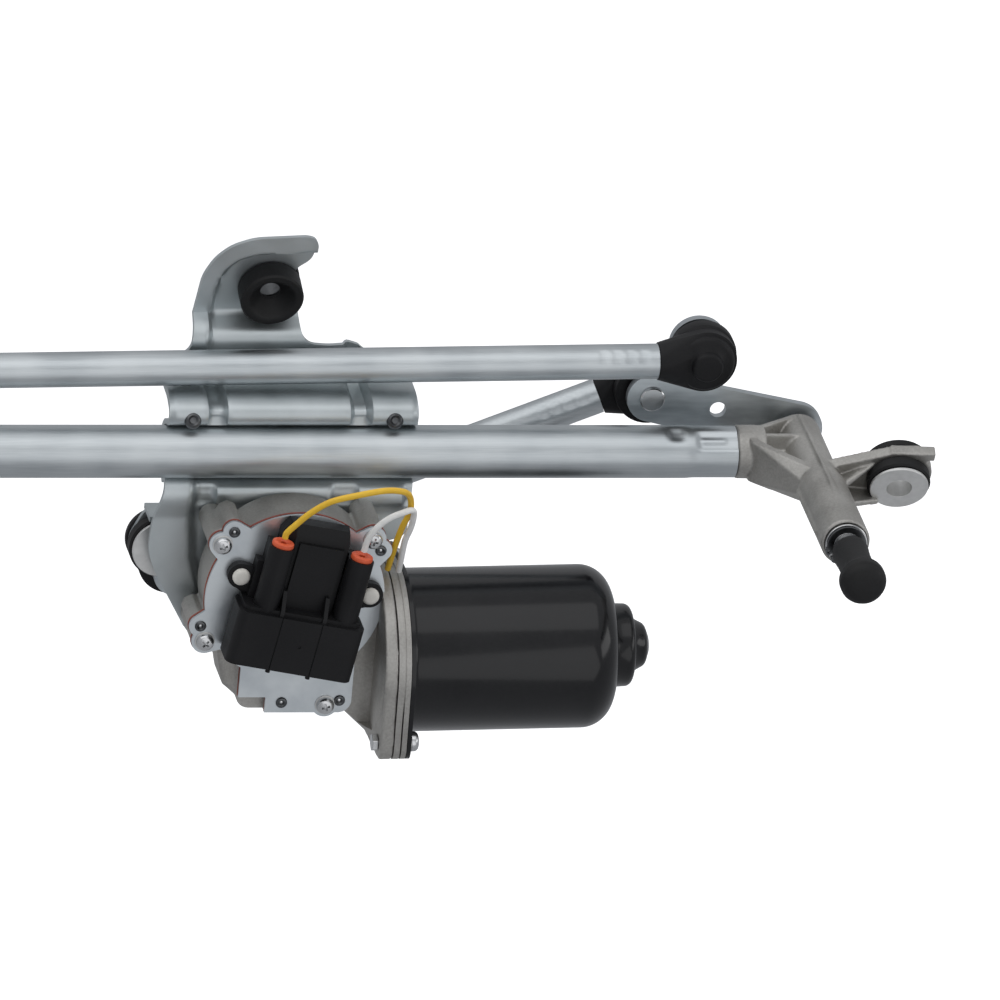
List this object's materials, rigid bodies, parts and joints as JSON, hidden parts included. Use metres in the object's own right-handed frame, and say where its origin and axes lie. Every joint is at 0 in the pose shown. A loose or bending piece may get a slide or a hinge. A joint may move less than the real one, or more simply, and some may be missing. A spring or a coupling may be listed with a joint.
{
  "type": "windshield wiper linkage",
  "caption": "Cowl-mounted wiper linkage: a frame tube between cast pivot housings, a gear motor on a stamped bracket, and a crank, drive link, cross link and levers.",
  "frame": {"origin": "on the frame tube's axis, at the middle of the motor bracket, which stands for the rubber cowl mounts that hold the assembly", "axes": "+X along the frame tube towards the pivot next to the motor's can, +Z along the pivot shafts and out of the cowl, +Y away from the motor"},
  "size_m": [0.7149, 0.2274, 0.2005],
  "materials": {
    "zinc_plate": "bright zinc plating",
    "cast_alloy": "as-cast",
    "bright_steel": "zinc-plated steel",
    "black_rubber": "matt black rubber",
    "black_plastic": "moulded black nylon",
    "can_paint": "gloss black paint",
    "orange_seal": "orange silicone",
    "gasket_red": "red-brown gasket",
    "yellow_insulation": "yellow insulation",
    "white_insulation": "white insulation",
    "white_nylon": "natural nylon",
    "bronze": "sintered bronze and copper",
    "ferrite": "ferrite and carbon"
  },
  "bodies": {
    "frame": {"frame_tube": "zinc_plate", "motor_bracket": "zinc_plate", "right_pivot_housing": "cast_alloy", "left_pivot_housing": "cast_alloy", "right_grommet": "black_rubber", "right_sleeve": "bright_steel", "left_grommet": "black_rubber", "left_sleeve": "bright_steel", "upper_grommet": "black_rubber", "upper_sleeve": "bright_steel", "lower_grommet": "black_rubber", "lower_sleeve": "bright_steel", "gear_housing": "cast_alloy", "housing_gasket": "gasket_red", "gear_cover": "zinc_plate", "cover_screw_1": "bright_steel", "cover_screw_2": "bright_steel", "cover_screw_3": "bright_steel", "cover_screw_4": "bright_steel", "connector_housing": "black_plastic", "connector_rivet_1": "white_nylon", "connector_rivet_2": "white_nylon", "wire_seal_1": "orange_seal", "wire_seal_2": "orange_seal", "yellow_wire": "yellow_insulation", "white_wire": "white_insulation", "brush_plate": "cast_alloy", "motor_can": "can_paint", "can_screw_1": "bright_steel", "can_screw_2": "bright_steel", "magnet_ring": "ferrite", "brush_1": "ferrite", "brush_2": "ferrite", "rear_bearing": "bronze"},
    "right_pivot": {"right_lever": "zinc_plate", "right_pivot_shaft": "bright_steel", "right_cross_stud": "bright_steel", "right_drive_stud": "bright_steel", "right_cap": "black_rubber", "right_washer": "bright_steel", "right_circlip": "bright_steel"},
    "left_pivot": {"left_lever": "zinc_plate", "left_pivot_shaft": "bright_steel", "left_cross_stud": "bright_steel", "left_cap": "black_rubber", "left_washer": "bright_steel", "left_circlip": "bright_steel"},
    "cross_link": {"cross_link_tube": "zinc_plate", "cross_link_left_socket": "black_plastic", "cross_link_right_socket": "black_plastic"},
    "drive_link": {"drive_link_tube": "zinc_plate", "drive_link_crank_socket": "black_plastic", "drive_link_lever_socket": "black_plastic", "crank_ball_stud": "bright_steel"},
    "crank": {"crank_arm": "zinc_plate", "crank_nut": "bright_steel", "output_shaft": "bright_steel", "worm_gear": "white_nylon"},
    "armature": {"armature_shaft": "bright_steel", "armature_windings": "bronze"}
  },
  "joints": [
    {"name": "wiper_swing", "type": "hinge", "parent": "frame", "child": "right_pivot", "pos_m": [0.237, 0, 0], "axis": [0, 0, 1], "range_deg": [-84.01, 0]},
    {"name": "left_swing", "type": "hinge", "parent": "frame", "child": "left_pivot", "pos_m": [-0.36292, -0.00984, 0], "axis": [0, 0, 1], "range_deg": [-84.01, 0]},
    {"name": "cross_link_pin", "type": "hinge", "parent": "right_pivot", "child": "cross_link", "pos_m": [0.1893, 0.0402, -0.011], "axis": [0, 0, 1], "range_deg": [0, 84.01]},
    {"name": "drive_link_pin", "type": "hinge", "parent": "right_pivot", "child": "drive_link", "pos_m": [0.1696, 0.0153, -0.046], "axis": [0, 0, 1], "range_deg": [0, 88.26]},
    {"name": "crank_turn", "type": "hinge", "parent": "frame", "child": "crank", "pos_m": [0, -0.055, 0], "axis": [0, 0, 1], "continuous": true},
    {"name": "armature_spin", "type": "hinge", "parent": "frame", "child": "armature", "pos_m": [0, -0.09, 0.021], "axis": [0.9997, 0.0227, 0], "continuous": true}
  ],
  "couplings": [
    {"joint": "left_swing", "follows": "wiper_swing", "ratio": 1},
    {"joint": "cross_link_pin", "follows": "wiper_swing", "ratio": -1},
    {"joint": "drive_link_pin", "follows": "wiper_swing", "ratio": -1.0505},
    {"joint": "crank_turn", "follows": "wiper_swing", "ratio": 2.092}
  ]
}
